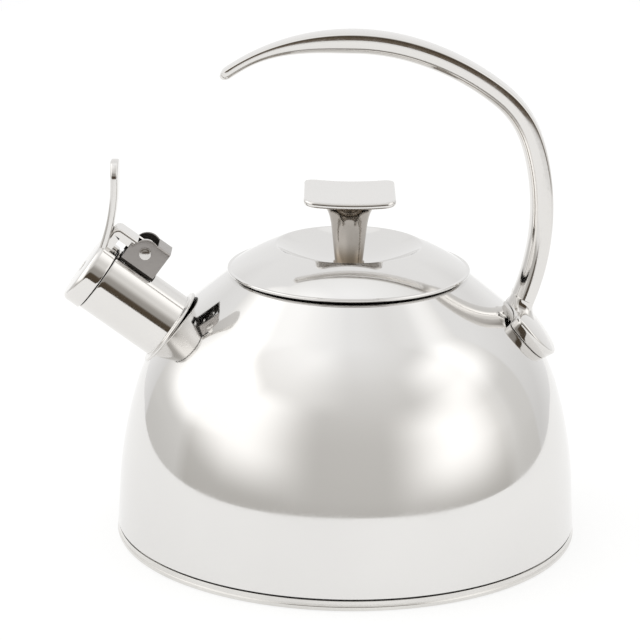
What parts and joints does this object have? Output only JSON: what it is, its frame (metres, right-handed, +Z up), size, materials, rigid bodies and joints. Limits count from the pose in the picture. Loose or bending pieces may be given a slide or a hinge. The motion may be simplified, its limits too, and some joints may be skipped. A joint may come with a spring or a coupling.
{
  "type": "stovetop whistling kettle",
  "caption": "Domed stainless stovetop kettle with a lift-off lid, an open C-shaped handle and a sprung whistle cap on a straight spout, opened by a thumb lever.",
  "frame": {"origin": "centre of the underside of the round base", "axes": "+Z up; the spout points along -X and the handle rises from the +X side"},
  "size_m": [0.2221, 0.2, 0.2204],
  "materials": {
    "polished_sheet": "mirror-polished stainless sheet",
    "polished_spout": "mirror-polished stainless tube and pressings",
    "polished_base": "polished stainless capsule with spun rim",
    "polished_casting": "mirror-polished cast stainless",
    "satin_sheet": "satin stainless pressing",
    "inside_steel": "satin stainless inside the kettle",
    "base_aluminium": "plain aluminium plate",
    "whistle_metal": "stamped thin plate",
    "fastener_steel": "bright fastener steel",
    "spring_wire": "drawn spring wire"
  },
  "bodies": {
    "kettle": {"body_shell": "polished_sheet", "bottom_pan": "inside_steel", "heat_disc": "base_aluminium", "base_cap": "polished_base", "spout_tube": "polished_spout", "spout_flange": "polished_spout", "hinge_bracket": "satin_sheet", "hinge_pin": "fastener_steel", "handle": "polished_casting", "handle_foot": "polished_casting", "handle_screws": "fastener_steel", "handle_washers": "fastener_steel", "return_spring": "spring_wire"},
    "lid": {"lid_shell": "polished_sheet", "lid_skirt": "inside_steel", "lid_knob": "polished_casting", "knob_screw": "fastener_steel", "knob_washer": "fastener_steel"},
    "whistle_cap": {"cap_shell": "polished_spout", "whistle_inner_plate": "whistle_metal", "whistle_spacer": "whistle_metal", "whistle_outer_plate": "whistle_metal", "cap_arm": "polished_spout", "thumb_lever": "polished_casting"}
  },
  "joints": [
    {"name": "lid_lift", "type": "slide", "parent": "kettle", "child": "lid", "axis": [0, 0, 1], "range_m": [0, 0.053]},
    {"name": "whistle_hinge", "type": "hinge", "parent": "kettle", "child": "whistle_cap", "pos_m": [-0.08676, 0, 0.1244], "axis": [0, 1, 0], "range_deg": [0, 70], "stiffness_Nm_per_rad": 0.03, "springref_deg": -34.38, "deforming": ["return_spring"]}
  ]
}
